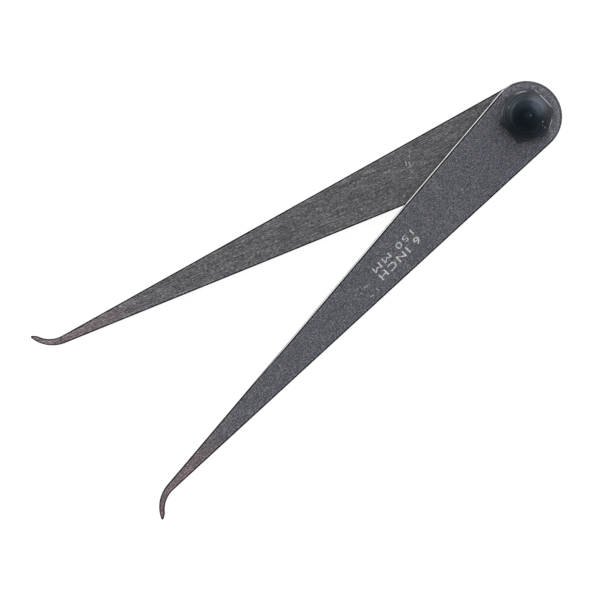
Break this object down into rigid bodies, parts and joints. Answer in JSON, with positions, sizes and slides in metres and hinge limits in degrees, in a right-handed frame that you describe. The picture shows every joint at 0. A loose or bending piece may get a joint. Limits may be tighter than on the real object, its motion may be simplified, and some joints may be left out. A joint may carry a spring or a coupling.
{
  "type": "firm joint inside caliper",
  "caption": "Flat tapered steel legs with out-turned feet, turning about a friction joint with a domed hexagon nut, for measuring bores and slots.",
  "frame": {"origin": "on the stud's axis, at the flat land under the bolt's head, which the caliper rests on", "axes": "+X halves the angle between the legs, from the joint towards the feet; +Z along the stud, from the bolt's head to the nut; +Y towards the front leg, the one nearer the nut"},
  "size_m": [0.1591, 0.0634, 0.0138],
  "materials": {
    "front_leg": "dark ground steel with polished inner edge, tinted foot",
    "rear_leg": "dark lengthwise ground steel, tinted foot",
    "joint_bolt": "blued turned steel",
    "leg_washer": "vulcanised fibre",
    "nut_washer": "dull brass",
    "domed_nut": "blue-black turned steel"
  },
  "bodies": {
    "rear": {"rear_leg": "rear_leg", "joint_bolt": "joint_bolt", "leg_washer": "leg_washer", "nut_washer": "nut_washer", "domed_nut": "domed_nut"},
    "front": {"front_leg": "front_leg"}
  },
  "joints": [
    {"name": "joint_hinge", "type": "hinge", "parent": "rear", "child": "front", "pos_m": [0, 0, 0.0057], "axis": [0, 0, 1], "continuous": true}
  ]
}
